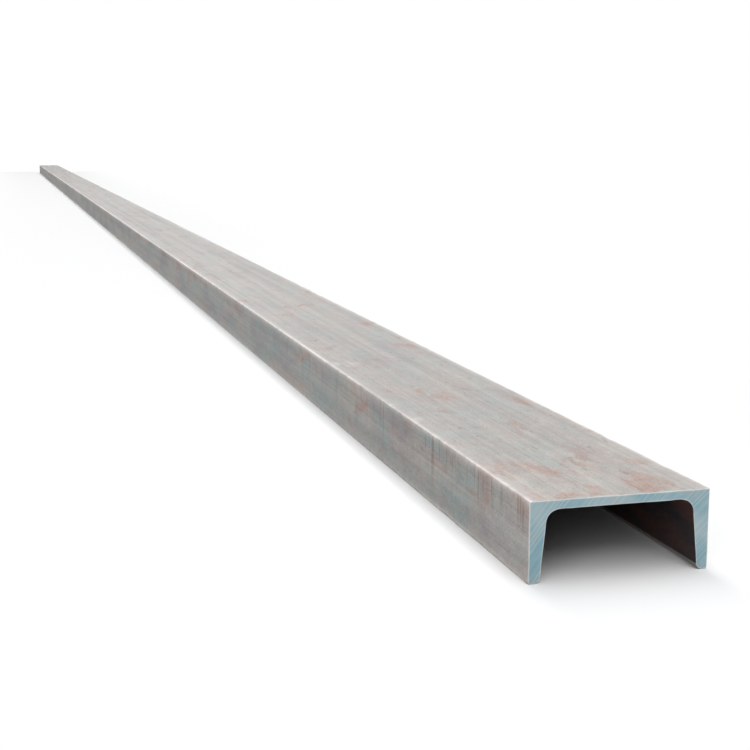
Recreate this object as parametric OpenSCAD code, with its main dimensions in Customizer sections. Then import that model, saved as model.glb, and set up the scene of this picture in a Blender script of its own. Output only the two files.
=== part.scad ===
// Hot-rolled steel channel with tapered flanges: one bar of stock, lying web up on its two toes.
// The section is drawn in the XZ plane and runs along Y. The origin is on the floor, midway
// between the toes and midway along the bar.

/* [Section] */
// Depth of the section, across the back of the web
section_depth = 120; // [80:1:200]
// Width of a flange, from the back of the web to the toe
flange_width = 52; // [43:0.5:75]
// Thickness of the web
web_thickness = 6.5; // [4.5:0.1:9]
// Mean thickness of a flange, half way between the web and the toe
flange_thickness = 10; // [7.5:0.1:12]
// Slope of a flange's inner face, in percent of its width
flange_slope = 10; // [0:0.5:14]

/* [Rolled edges] */
// Fillet at the root of a flange, inside the trough
root_radius = 8; // [4:0.1:12]
// Rounding of the inner edge of a toe
toe_radius = 4.5; // [2:0.1:5]
// Rounding of the outer corners, at the heels and at the toes
corner_radius = 1.2; // [0.5:0.1:2]

/* [Stock] */
// Length that the bar is cut to
bar_length = 9000; // [1000:10:12000]

/* [Hidden] */
$fn = 64;

steel_grey = [0.62, 0.60, 0.58];

half_depth = section_depth / 2;
trough_height = flange_width - web_thickness;

// The inner face of the right-hand flange: its slope, its unit normal into the steel, and its
// distance from the middle of the section at a height above the toes.
slope = flange_slope / 100;
slope_length = sqrt(1 + slope * slope);
into_flange = [1, slope] / slope_length;
toe_thickness = flange_thickness - slope * trough_height / 2;
function inner_face_x(height) = half_depth - toe_thickness - slope * height;

// Root fillet: its centre lies in the trough, one radius from the web and one from the flange.
root_height = trough_height - root_radius;
root_centre = [inner_face_x(root_height) - root_radius * slope_length, root_height];
root_end = root_centre + root_radius * into_flange;

// Toe rounding: its centre lies in the flange. It takes at most nine tenths of the toe's flat.
toe_rounding = min(toe_radius, 0.9 * (toe_thickness - corner_radius) / (slope_length - slope));
toe_centre = [inner_face_x(toe_rounding) + toe_rounding * slope_length, toe_rounding];

// A right-hand shape and its mirror image on the left.
module both_sides() {
    children();
    mirror([1, 0]) children();
}

// The outer rectangle, with a small round on each corner.
module outline() {
    corner_x = half_depth - corner_radius;
    translate([-corner_x, 0]) square([2 * corner_x, flange_width]);
    translate([-half_depth, corner_radius]) square([section_depth, flange_width - 2 * corner_radius]);
    both_sides()
        for (corner_z = [corner_radius, flange_width - corner_radius])
            translate([corner_x, corner_z]) circle(corner_radius);
}

// The space between the flanges, down past the toes, with a fillet in each top corner.
module trough() {
    mouth = [inner_face_x(-toe_rounding), -toe_rounding];
    polygon([
        [-root_centre.x, trough_height],
        [root_centre.x, trough_height],
        root_centre,
        root_end,
        mouth,
        [-mouth.x, mouth.y],
        [-root_end.x, root_end.y],
        [-root_centre.x, root_centre.y]
    ]);
    both_sides() translate(root_centre) circle(root_radius);
}

// What the rounding takes off the inner edge of the right-hand toe.
module toe_cut() {
    in_trough = toe_centre - 2 * toe_rounding * into_flange;
    difference() {
        polygon([
            toe_centre,
            in_trough,
            [in_trough.x, -toe_rounding],
            [toe_centre.x, -toe_rounding]
        ]);
        translate(toe_centre) circle(toe_rounding);
    }
}

module section() {
    difference() {
        outline();
        trough();
        both_sides() toe_cut();
    }
}

module channel_section() {
    color(steel_grey)
        rotate([90, 0, 0])
            linear_extrude(height = bar_length, center = true) section();
}

channel_section();
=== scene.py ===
"""A hot-rolled steel channel: one bar of stock, lying web up on a pale studio floor."""

import math
import random

import bpy
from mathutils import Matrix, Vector, noise


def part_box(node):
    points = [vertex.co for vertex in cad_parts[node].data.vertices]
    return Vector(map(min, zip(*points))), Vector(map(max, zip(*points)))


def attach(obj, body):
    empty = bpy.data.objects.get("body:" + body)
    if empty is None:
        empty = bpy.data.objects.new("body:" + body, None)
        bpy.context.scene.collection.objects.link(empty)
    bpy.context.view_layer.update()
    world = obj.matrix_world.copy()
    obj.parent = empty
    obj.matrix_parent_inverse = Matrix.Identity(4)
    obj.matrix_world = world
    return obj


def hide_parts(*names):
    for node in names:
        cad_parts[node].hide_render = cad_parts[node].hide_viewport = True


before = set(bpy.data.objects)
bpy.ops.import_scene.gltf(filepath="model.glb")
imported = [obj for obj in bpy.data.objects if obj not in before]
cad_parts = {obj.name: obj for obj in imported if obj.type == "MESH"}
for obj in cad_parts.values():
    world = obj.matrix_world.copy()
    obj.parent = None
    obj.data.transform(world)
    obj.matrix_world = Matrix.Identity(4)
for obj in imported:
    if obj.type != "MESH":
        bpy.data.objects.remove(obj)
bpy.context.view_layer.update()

NODE = "channel_section"
MM = 0.001

# The section as the solid has it
DEPTH = 120 * MM
FLANGE = 52 * MM
WEB = 6.5 * MM
MEAN_FLANGE = 10 * MM
SLOPE = 0.10
ROOT_R = 8 * MM
TOE_R = 4.5 * MM
CORNER_R = 1.2 * MM

# How wide the rim of a cut end is broken, and how deep the burr on the cut reaches
RIM = 0.7 * MM
BURR_DEPTH = 1.1 * MM

# How far from its ends the bar's edges are knocked, how far apart the knocks are, and how far a knock
# reaches up or down from its edge
KNOCKED = 1.4
NICK_SPACING = 0.14
NICK_HEIGHT = 6 * MM

# How far the rubbing and painted highlight of an edge reach onto the flats beside it
WEAR_AND_HIGHLIGHT_REACH = 2 * MM

# How deep the rolled surface's long waves and short ripples are
WAVE = 0.10 * MM
RIPPLE = 0.06 * MM

# Centre of the saw marks on a cut end, and how many lines a metre they have
SAW_CENTRE = (0.32, 0, -0.25)
SAW_LINES = 900.0

# Where the floor beside the bar starts to fade, and where it is white
FADE_START = 0.12
FADE_END = 0.45

low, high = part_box(NODE)
NEAR_END = low[1]
FAR_END = high[1]


def srgb(red, green, blue):
    """Linear colour of an 8-bit screen colour."""
    def linear(value):
        value /= 255
        return value / 12.92 if value <= 0.04045 else ((value + 0.055) / 1.055) ** 2.4
    return (linear(red), linear(green), linear(blue), 1.0)


# Section outline

class Spot:
    """A point of the section's outline: place, outward normal, how strong its edge's rubbing and painted
    highlight are, and how far it lies on the inner faces that carry painted shade and rust.
    """

    def __init__(self, x, z, normal, edge, inner_shade_and_rust):
        self.x = x
        self.z = z
        self.normal = normal
        self.edge = edge
        self.inner_shade_and_rust = inner_shade_and_rust

    def mirrored(self):
        return Spot(-self.x, self.z, (-self.normal[0], self.normal[1]), self.edge, self.inner_shade_and_rust)


def flat_stops(length, step):
    """Distances along a flat: close together at its ends, so that its shading stays flat."""
    margins = [0.4 * MM, 1.2 * MM, 3 * MM]
    margins = [m for m in margins if m < 0.3 * length]
    inner = length - 2 * margins[-1]
    count = max(1, round(inner / step))
    middle = [margins[-1] + inner * i / count for i in range(1, count)]
    return margins + middle + [length - m for m in reversed(margins)]


def flat(start, end, normal, edges, inner_shade_and_rust, step=6 * MM):
    """Points of a flat between two arcs, without its ends; edges are how strong the edge rubbing and
    painted highlight are at each end.
    """
    length = math.dist(start, end)
    spots = []
    for s in flat_stops(length, step):
        t = s / length
        flat_wear_and_highlight = max(edges[0] * math.exp(-s / WEAR_AND_HIGHLIGHT_REACH), edges[1] * math.exp((s - length) / WEAR_AND_HIGHLIGHT_REACH))
        x = start[0] + (end[0] - start[0]) * t
        z = start[1] + (end[1] - start[1]) * t
        spots.append(Spot(x, z, normal, flat_wear_and_highlight, inner_shade_and_rust))
    return spots


def arc(centre, radius, first, last, steps, edge, inner_shade_and_rust_ends, hollow=False):
    """Points of an arc with its ends, from one angle to another."""
    spots = []
    for i in range(steps + 1):
        t = i / steps
        angle = first + (last - first) * t
        c = math.cos(angle)
        s = math.sin(angle)
        normal = (-c, -s) if hollow else (c, s)
        inner_shade_and_rust = inner_shade_and_rust_ends[0] + (inner_shade_and_rust_ends[1] - inner_shade_and_rust_ends[0]) * t
        spots.append(Spot(centre[0] + radius * c, centre[1] + radius * s, normal, edge, inner_shade_and_rust))
    return spots


def section_outline():
    """The closed outline, from the middle of the web's back, round by the right-hand flange."""
    half = DEPTH / 2
    roof = FLANGE - WEB
    lean = math.atan(SLOPE)
    slope_length = math.hypot(1, SLOPE)
    toe_thickness = MEAN_FLANGE - SLOPE * roof / 2

    def inner_x(z):
        return half - toe_thickness - SLOPE * z

    heel = (half - CORNER_R, FLANGE - CORNER_R)
    outer_toe = (half - CORNER_R, CORNER_R)
    toe = (inner_x(TOE_R) + TOE_R * slope_length, TOE_R)
    root_z = roof - ROOT_R
    root = (inner_x(root_z) - ROOT_R * slope_length, root_z)
    quarter = math.pi / 2

    heel_arc = arc(heel, CORNER_R, quarter, 0, 5, 1.0, (0, 0))
    outer_toe_arc = arc(outer_toe, CORNER_R, 0, -quarter, 5, 1.0, (0, 0))
    toe_arc = arc(toe, TOE_R, -quarter, lean - math.pi, 7, 0.6, (0, 0.7))
    root_arc = arc(root, ROOT_R, lean, quarter, 8, 0.0, (1, 1), hollow=True)

    def start_of(spots):
        return (spots[0].x, spots[0].z)

    def end_of(spots):
        return (spots[-1].x, spots[-1].z)

    back_middle = (0, FLANGE)
    roof_middle = (0, roof)
    inner_normal = (-1 / slope_length, -SLOPE / slope_length)
    right = flat(back_middle, start_of(heel_arc), (0, 1), (0, 1), 0)
    right += heel_arc
    right += flat(end_of(heel_arc), start_of(outer_toe_arc), (1, 0), (1, 1), 0)
    right += outer_toe_arc
    right += [Spot((outer_toe[0] + toe[0]) / 2, 0, (0, -1), 0.6, 0)]
    right += toe_arc
    right += flat(end_of(toe_arc), start_of(root_arc), inner_normal, (0.6, 0), 1)
    right += root_arc
    right += flat(end_of(root_arc), roof_middle, (0, -1), (0, 0), 1)
    left = [spot.mirrored() for spot in reversed(right)]
    return [Spot(0, FLANGE, (0, 1), 0, 0)] + right + [Spot(0, roof, (0, -1), 0, 1)] + left


# Lengthwise stations

def stations():
    """Places along the bar, closer together towards its ends.

    A span is how far it reaches from an end, and the step within it.
    """
    spans = ((0.03, 1.5 * MM), (0.3, 5 * MM), (KNOCKED, 10 * MM), ((FAR_END - NEAR_END) / 2, 40 * MM))
    offsets = [RIM]
    for reach, step in spans:
        start = offsets[-1]
        count = max(1, round((reach - start) / step))
        offsets += [start + (reach - start) * i / count for i in range(1, count + 1)]
    near = [NEAR_END + offset for offset in offsets]
    far = [FAR_END - offset for offset in reversed(offsets[:-1])]
    return near + far


# Relief of the rolled surface

def handling_nicks():
    """Knocks on the edges near the ends: side, height, place along the bar, half length and depth."""
    chance = random.Random(12)
    nicks = []
    for side in (-1, 1):
        for height in (0, FLANGE):
            for end, inward in ((NEAR_END, 1), (FAR_END, -1)):
                distance = chance.expovariate(1 / NICK_SPACING)
                while distance < KNOCKED:
                    place = end + inward * distance
                    half_length = chance.uniform(10, 24) * MM
                    depth = chance.uniform(0.1, 0.5) * MM
                    nicks.append((side, height, place, half_length, depth))
                    distance += chance.expovariate(1 / NICK_SPACING)
    return nicks


NICKS = handling_nicks()


def nick_depth(spot, y):
    """How deep the deepest knock is at this place."""
    depth = 0
    for side, height, place, reach, deepest in NICKS:
        if spot.x * side > 0 and abs(spot.z - height) < NICK_HEIGHT and abs(y - place) < reach:
            t = (y - place) / reach
            depth = max(depth, deepest * (1 - t * t))
    return depth * spot.edge


def relief(spot, y):
    """How far the surface lies under the ideal section at this place."""
    long_wave = noise.noise(Vector((spot.x * 18, y * 2.3, spot.z * 18)))
    short_wave = noise.noise(Vector((spot.x * 60 + 7, y * 16, spot.z * 60)))
    return WAVE * (1 + long_wave) / 2 + RIPPLE * (1 + short_wave) / 2 + nick_depth(spot, y)


def make_channel():
    """The bar as one mesh: skin, broken rims and cut ends."""
    outline = section_outline()
    places = stations()
    verts = []
    edge_wear_and_highlight = []
    inner_shade_and_rust = []

    def ring(y, sink, rim_wear_and_highlight=None):
        start = len(verts)
        for spot in outline:
            depth = sink(spot)
            verts.append((spot.x - spot.normal[0] * depth, y, spot.z - spot.normal[1] * depth))
            edge_wear_and_highlight.append(spot.edge if rim_wear_and_highlight is None else rim_wear_and_highlight)
            inner_shade_and_rust.append(spot.inner_shade_and_rust)
        return start

    def rim_depth(spot, y):
        ragged = noise.noise(Vector((spot.x * 160, y, spot.z * 160)))
        return RIM * (0.55 + 0.45 * ragged) + relief(spot, y)

    near_cap = ring(NEAR_END, lambda spot: BURR_DEPTH, rim_wear_and_highlight=0)
    # The broken rims get full edge rubbing and painted highlight, the caps none
    near_rim = ring(NEAR_END, lambda spot: rim_depth(spot, NEAR_END), rim_wear_and_highlight=1)
    skin = [ring(y, lambda spot, y=y: relief(spot, y)) for y in places]
    far_rim = ring(FAR_END, lambda spot: rim_depth(spot, FAR_END), rim_wear_and_highlight=1)
    far_cap = ring(FAR_END, lambda spot: BURR_DEPTH, rim_wear_and_highlight=0)

    count = len(outline)
    faces = []

    def bands(rings):
        for a, b in zip(rings, rings[1:]):
            for i in range(count):
                j = (i + 1) % count
                faces.append((a + i, a + j, b + j, b + i))

    bands([near_rim] + skin + [far_rim])
    skin_faces = len(faces)
    bands([near_cap, near_rim])
    bands([far_rim, far_cap])
    faces.append(tuple(near_cap + i for i in reversed(range(count))))
    faces.append(tuple(far_cap + i for i in range(count)))

    mesh = bpy.data.meshes.new("channel_bar")
    mesh.from_pydata(verts, [], faces)
    # Masks as point attributes: edge rubbing with painted highlight, and the inner faces' painted shade
    # with rust
    for name, values in (("edge_wear_and_highlight", edge_wear_and_highlight), ("inner_shade_and_rust", inner_shade_and_rust)):
        layer = mesh.attributes.new(name, "FLOAT", "POINT")
        layer.data.foreach_set("value", values)
    for polygon in mesh.polygons:
        polygon.use_smooth = True
        polygon.material_index = 0 if polygon.index < skin_faces else 1
    sharp = mesh.attributes.new("sharp_edge", "BOOLEAN", "EDGE")
    for start in (near_rim, skin[0], skin[-1], far_rim):
        sharp_ring = set(range(start, start + count))
        for edge in mesh.edges:
            if sharp_ring.issuperset(edge.vertices):
                sharp.data[edge.index].value = True
    mesh.update()
    bar = bpy.data.objects.new("channel_bar", mesh)
    bpy.context.scene.collection.objects.link(bar)
    return bar


# Materials

class Graph:
    """A material's nodes, made a line at a time."""

    def __init__(self, name):
        self.material = bpy.data.materials.new(name)
        self.material.use_nodes = True
        self.tree = self.material.node_tree
        self.shader = self.tree.nodes["Principled BSDF"]
        self.place = self.add("ShaderNodeTexCoord").outputs["Object"]

    def add(self, kind, **settings):
        node = self.tree.nodes.new(kind)
        for key, value in settings.items():
            setattr(node, key, value)
        return node

    def feed(self, socket, value):
        """Links the socket to an output, or sets its value."""
        if isinstance(value, bpy.types.NodeSocket):
            self.tree.links.new(value, socket)
        else:
            socket.default_value = value

    def math(self, operation, a, b=0.0):
        node = self.add("ShaderNodeMath", operation=operation)
        self.feed(node.inputs[0], a)
        self.feed(node.inputs[1], b)
        return node.outputs[0]

    def step(self, value, start, end, low=0.0, high=1.0):
        """A smooth step from low to high as the value goes from start to end."""
        node = self.add("ShaderNodeMapRange", interpolation_type="SMOOTHSTEP")
        self.feed(node.inputs["Value"], value)
        self.feed(node.inputs["From Min"], start)
        self.feed(node.inputs["From Max"], end)
        self.feed(node.inputs["To Min"], low)
        self.feed(node.inputs["To Max"], high)
        return node.outputs["Result"]

    def split(self, vector):
        node = self.add("ShaderNodeSeparateXYZ")
        self.feed(node.inputs[0], vector)
        return node.outputs

    def noise(self, scales, offset=0.0, detail=3.0, roughness=0.5, distortion=0.0, turn=(0, 0, 0)):
        """Noise with its own number of features a metre across, along and up the bar."""
        mapping = self.add("ShaderNodeMapping")
        self.feed(mapping.inputs["Vector"], self.place)
        mapping.inputs["Scale"].default_value = scales
        mapping.inputs["Rotation"].default_value = turn
        mapping.inputs["Location"].default_value = (offset, offset * 1.7, -offset)
        node = self.add("ShaderNodeTexNoise")
        self.feed(node.inputs["Vector"], mapping.outputs["Vector"])
        node.inputs["Scale"].default_value = 1.0
        node.inputs["Detail"].default_value = detail
        node.inputs["Roughness"].default_value = roughness
        node.inputs["Distortion"].default_value = distortion
        return node.outputs["Fac"]

    def mix(self, factor, a, b, blend="MIX"):
        node = self.add("ShaderNodeMix", data_type="RGBA", blend_type=blend)
        self.feed(node.inputs["Factor"], factor)
        self.feed(node.inputs[6], a)
        self.feed(node.inputs[7], b)
        return node.outputs[2]

    def shaded(self, colour, shade):
        """The colour made lighter or darker by a factor."""
        grey = self.add("ShaderNodeCombineColor")
        for socket in grey.inputs:
            self.feed(socket, shade)
        return self.mix(1.0, colour, grey.outputs[0], "MULTIPLY")

    def attribute(self, name):
        return self.add("ShaderNodeAttribute", attribute_name=name).outputs["Fac"]

    def bump(self, height, strength, distance, under=None):
        node = self.add("ShaderNodeBump")
        node.inputs["Strength"].default_value = strength
        node.inputs["Distance"].default_value = distance
        self.feed(node.inputs["Height"], height)
        if under is not None:
            self.feed(node.inputs["Normal"], under)
        return node.outputs["Normal"]


def mill_scale():
    """Rolled surface: dull grey scale in cool and warm patches, with rust blotches, runs, pale edges that
    are partly rubbing and partly painted highlight, painted light on the web's back and painted shade on
    the inner faces.
    """
    g = Graph("mill_scale")
    edge = g.attribute("edge_wear_and_highlight")
    inner_shade_and_rust = g.attribute("inner_shade_and_rust")
    facing = g.split(g.add("ShaderNodeNewGeometry").outputs["Normal"])
    painted_top_light = g.step(facing["Z"], 0.3, 0.9)
    sideways = g.step(g.math("ABSOLUTE", facing["X"]), 0.5, 0.95)
    place = g.split(g.place)
    from_end = g.math("SUBTRACT", FAR_END, g.math("ABSOLUTE", place["Y"]))
    below_heel = g.math("SUBTRACT", FLANGE, place["Z"])

    # Soft patches of scale, and the web's back, which faces up, painted paler and warmer as painted light
    # from above
    dusky = g.step(g.noise((22, 7, 22), 23.5, 4), 0.42, 0.64, 0.0, 0.7)
    cool = g.step(g.noise((40, 15, 40), 3.1, 4, 0.55), 0.46, 0.64, 0.0, 0.6)
    warm = g.step(g.noise((30, 9, 30), 8.7, 5, 0.6), 0.46, 0.66, 0.0, 0.55)
    colour = g.mix(dusky, srgb(153, 152, 149), srgb(134, 133, 137))
    colour = g.mix(cool, colour, srgb(136, 153, 152))
    colour = g.mix(warm, colour, srgb(168, 153, 146))
    # painted light: faces that point up get a paler, warmer colour, as if lit from above
    colour = g.mix(g.math("MULTIPLY", painted_top_light, 0.5), colour, srgb(168, 163, 160))

    # Paler steel close to the cuts
    ragged_end = g.math("ADD", from_end, g.step(g.noise((40, 12, 40), 17.0, 4), 0.3, 0.7, -0.05, 0.05))
    near_cut = g.step(ragged_end, 0.02, 0.18, 0.5, 0.0)
    colour = g.mix(near_cut, colour, srgb(176, 170, 164))

    # Rust blotches, most of them under the heels and close to the cuts
    under_heel = g.math("MULTIPLY", sideways, g.step(below_heel, 0.0, 0.035, 0.07, -0.02))
    favoured = g.math("ADD", under_heel, g.step(from_end, 0.01, 0.25, 0.07, 0.0))
    blotch = g.step(g.math("ADD", g.noise((34, 13, 34), 11.0, 7, 0.66, 0.4), favoured), 0.56, 0.70)
    speckle = g.step(g.noise((420, 260, 420), 4.4, 3, 0.6), 0.35, 0.65, 0.25, 0.65)
    colour = g.mix(g.math("MULTIPLY", blotch, speckle), colour, srgb(166, 130, 117))

    # Runs down the flanges from the heels
    run_length = g.step(g.noise((40, 90, 3), 31.0, 2), 0.35, 0.65, 0.012, 0.05)
    run_fade = g.step(below_heel, 0.0, run_length, 1.0, 0.0)
    run_here = g.step(g.noise((40, 210, 6), 20.5, 3, 0.55), 0.53, 0.66)
    run_reach = g.math("MULTIPLY", sideways, g.step(from_end, 0.15, 0.9, 0.65, 0.25))
    runs = g.math("MULTIPLY", g.math("MULTIPLY", run_here, run_fade), run_reach)
    colour = g.mix(runs, colour, srgb(118, 98, 86))

    # Streaks along the rolling direction, and the grain of the scale
    fine = g.noise((420, 5, 420), 1.3, 3, 0.6)
    broad = g.noise((75, 0.8, 75), 5.9, 3)
    mottle = g.noise((120, 60, 120), 27.0, 5, 0.6)
    grain = g.noise((700, 480, 700), 2.2, 4, 0.65)
    roll_lines = g.noise((330, 0.25, 330), 37.0, 2)
    shade = g.math("ADD", g.step(fine, 0.3, 0.7, 0.94, 1.06), g.step(broad, 0.3, 0.7, -0.07, 0.07))
    shade = g.math("ADD", shade, g.step(roll_lines, 0.60, 0.72, 0.0, -0.16))
    shade = g.math("ADD", shade, g.step(mottle, 0.3, 0.7, -0.09, 0.09))
    shade = g.math("ADD", shade, g.step(grain, 0.25, 0.75, -0.12, 0.12))
    colour = g.shaded(colour, shade)

    # Dark flakes where the scale is thick, and scratches through it
    flakes = g.step(g.noise((190, 60, 190), 6.4, 5, 0.7), 0.58, 0.70, 0.0, 0.4)
    colour = g.mix(flakes, colour, srgb(92, 91, 92))
    scratch = g.step(g.noise((9, 5, 620), 13.0, 2, 0.5, turn=(0.35, 0.0, 0.5)), 0.68, 0.72, 0.0, 0.4)
    broken = g.step(g.noise((60, 25, 60), 18.0, 3), 0.45, 0.6)
    colour = g.mix(g.math("MULTIPLY", scratch, broken), colour, srgb(198, 195, 191))

    # Pale lines along the edges: partly rubbing, partly painted highlight
    edge_line_noise = g.math("ADD", g.noise((40, 3.5, 40), 9.3, 3), g.noise((200, 130, 200), 3.8, 3))
    rubbed_and_highlight = g.math("MULTIPLY", edge, g.step(edge_line_noise, 0.7, 1.3, 0.3, 0.85))
    # painted highlight along the edges, mixed with real rubbing
    colour = g.mix(rubbed_and_highlight, colour, srgb(212, 205, 201))

    # The inner faces: painted near-black shade over dark scale, with dull red-brown rust
    inside_rust = g.step(g.noise((30, 7, 30), 14.2, 7, 0.65), 0.42, 0.66)
    inside = g.mix(inside_rust, srgb(48, 46, 49), srgb(76, 54, 49))
    # painted shade: the inner faces darkened to near black
    colour = g.mix(inner_shade_and_rust, colour, inside)

    g.feed(g.shader.inputs["Base Color"], colour)
    rough = g.math("ADD", g.step(mottle, 0.3, 0.7, 0.48, 0.66), g.math("MULTIPLY", blotch, 0.15))
    g.feed(g.shader.inputs["Roughness"], g.math("SUBTRACT", rough, g.math("MULTIPLY", rubbed_and_highlight, 0.15)))
    g.feed(g.shader.inputs["Metallic"], g.step(rubbed_and_highlight, 0.0, 1.0, 0.1, 0.45))
    g.shader.inputs["Specular IOR Level"].default_value = 0.08

    pits = g.bump(g.noise((260, 120, 260), 7.7, 6, 0.62), 0.35, 0.5 * MM)
    g.feed(g.shader.inputs["Normal"], g.bump(fine, 0.25, 0.2 * MM, pits))
    return g.material


def cut_end():
    """Sawn end: blue-grey steel with fine curved saw marks, and a pale rim that is partly burr and partly
    painted highlight.
    """
    g = Graph("cut_end")
    edge = g.attribute("edge_wear_and_highlight")
    tint = g.step(g.noise((34, 10, 34), 2.6, 4), 0.36, 0.66)
    colour = g.mix(tint, srgb(144, 163, 168), srgb(112, 148, 160))
    warm = g.step(g.noise((60, 20, 60), 5.2, 5, 0.6), 0.56, 0.72)
    colour = g.mix(g.math("MULTIPLY", warm, 0.5), colour, srgb(160, 150, 140))

    # Saw marks: arcs about a far centre
    place = g.add("ShaderNodeVectorMath", operation="SUBTRACT")
    g.feed(place.inputs[0], g.place)
    place.inputs[1].default_value = SAW_CENTRE
    flat_place = g.add("ShaderNodeVectorMath", operation="MULTIPLY")
    g.feed(flat_place.inputs[0], place.outputs[0])
    flat_place.inputs[1].default_value = (1, 0, 1)
    distance = g.add("ShaderNodeVectorMath", operation="LENGTH")
    g.feed(distance.inputs[0], flat_place.outputs[0])
    lines = g.add("ShaderNodeTexNoise", noise_dimensions="1D")
    g.feed(lines.inputs["W"], g.math("MULTIPLY", distance.outputs["Value"], SAW_LINES))
    lines.inputs["Scale"].default_value = 1.0
    lines.inputs["Detail"].default_value = 3.0
    marks = lines.outputs["Fac"]
    colour = g.mix(g.step(marks, 0.4, 0.7, 0.0, 0.35), colour, srgb(186, 198, 200))
    # Pale rim: partly burr, partly painted highlight along the cut's edge
    colour = g.mix(g.math("MULTIPLY", edge, 0.8), colour, srgb(206, 210, 209))

    g.feed(g.shader.inputs["Base Color"], colour)
    g.feed(g.shader.inputs["Roughness"], g.step(marks, 0.3, 0.7, 0.42, 0.55))
    g.shader.inputs["Metallic"].default_value = 0.45
    g.feed(g.shader.inputs["Normal"], g.bump(marks, 0.4, 0.25 * MM))
    return g.material


# Studio

def add_floor():
    """A pale floor that keeps the bar's shadow and fades to white away from it."""
    mesh = bpy.data.meshes.new("floor")
    reach = 60.0
    mesh.from_pydata([(-reach, -reach, 0), (reach, -reach, 0), (reach, reach, 0), (-reach, reach, 0)],
                     [], [(0, 1, 2, 3)])
    floor = bpy.data.objects.new("floor", mesh)
    bpy.context.scene.collection.objects.link(floor)
    g = Graph("pale_floor")
    g.shader.inputs["Base Color"].default_value = (0.80, 0.80, 0.80, 1)
    g.shader.inputs["Roughness"].default_value = 0.9
    g.shader.inputs["Specular IOR Level"].default_value = 0.0
    place = g.split(g.place)
    beyond = g.math("MAXIMUM", 0.0, g.math("SUBTRACT", g.math("ABSOLUTE", place["Y"]), FAR_END))
    away = g.step(g.math("MAXIMUM", g.math("ABSOLUTE", place["X"]), beyond), FADE_START, FADE_END)
    path = g.add("ShaderNodeLightPath")
    seen = g.math("MAXIMUM", path.outputs["Is Camera Ray"], path.outputs["Is Glossy Ray"])
    seen = g.math("MAXIMUM", seen, path.outputs["Is Transmission Ray"])
    white = g.add("ShaderNodeEmission")
    white.inputs["Strength"].default_value = 1.0
    blend = g.add("ShaderNodeMixShader")
    g.feed(blend.inputs[0], g.math("MULTIPLY", away, seen))
    g.feed(blend.inputs[1], g.shader.outputs[0])
    g.feed(blend.inputs[2], white.outputs[0])
    g.feed(g.tree.nodes["Material Output"].inputs["Surface"], blend.outputs[0])
    mesh.materials.append(g.material)


def add_world():
    """Even light all round, and a white background."""
    world = bpy.data.worlds.new("studio")
    bpy.context.scene.world = world
    world.use_nodes = True
    nodes = world.node_tree.nodes
    links = world.node_tree.links
    light = nodes["Background"]
    light.inputs["Color"].default_value = (0.96, 0.98, 1.0, 1)
    light.inputs["Strength"].default_value = 0.30
    white = nodes.new("ShaderNodeBackground")
    white.inputs["Color"].default_value = (1, 1, 1, 1)
    white.inputs["Strength"].default_value = 1.0
    path = nodes.new("ShaderNodeLightPath")
    seen = path.outputs["Is Camera Ray"]
    for ray in ("Is Glossy Ray", "Is Transmission Ray"):
        either = nodes.new("ShaderNodeMath")
        either.operation = "MAXIMUM"
        links.new(seen, either.inputs[0])
        links.new(path.outputs[ray], either.inputs[1])
        seen = either.outputs[0]
    mix = nodes.new("ShaderNodeMixShader")
    links.new(seen, mix.inputs[0])
    links.new(light.outputs[0], mix.inputs[1])
    links.new(white.outputs[0], mix.inputs[2])
    links.new(mix.outputs[0], nodes["World Output"].inputs["Surface"])


def add_area(name, place, target, size, power):
    """A rectangular lamp that faces its target."""
    lamp = bpy.data.lights.new(name, "AREA")
    lamp.shape = "RECTANGLE"
    lamp.size, lamp.size_y = size
    lamp.energy = power
    obj = bpy.data.objects.new(name, lamp)
    obj.location = place
    obj.rotation_euler = (Vector(target) - Vector(place)).to_track_quat("-Z", "Y").to_euler()
    bpy.context.scene.collection.objects.link(obj)


def add_camera():
    """The photo's viewing angle on the near end, from the photo's distance of about seven depths."""
    camera = bpy.data.cameras.new("camera")
    camera.lens = 66.0
    camera.sensor_width = 36.0
    camera.clip_start = 0.01
    camera.clip_end = 200.0
    obj = bpy.data.objects.new("camera", camera)
    station = Vector((-0.3588, -5.2423, 0.2684))
    azimuth = math.radians(15.32)
    elevation = math.radians(9.98)
    forward = Vector((math.sin(azimuth) * math.cos(elevation), math.cos(azimuth) * math.cos(elevation),
                      -math.sin(elevation)))
    obj.location = station
    obj.rotation_euler = forward.to_track_quat("-Z", "Y").to_euler()
    bpy.context.scene.collection.objects.link(obj)
    bpy.context.scene.camera = obj


bar = make_channel()
bar.data.materials.append(mill_scale())
bar.data.materials.append(cut_end())
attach(bar, "root")
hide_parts(NODE)

add_floor()
add_world()
add_area("overhead", place=(0.2, -1.0, 4.5), target=(0.2, -1.0, 0), size=(2.0, 20.0), power=540)
add_area("front_fill", place=(-2.5, -8.0, 2.0), target=(0, -4.2, 0), size=(3.0, 3.0), power=78)
add_camera()
bpy.context.scene.view_settings.view_transform = "Standard"
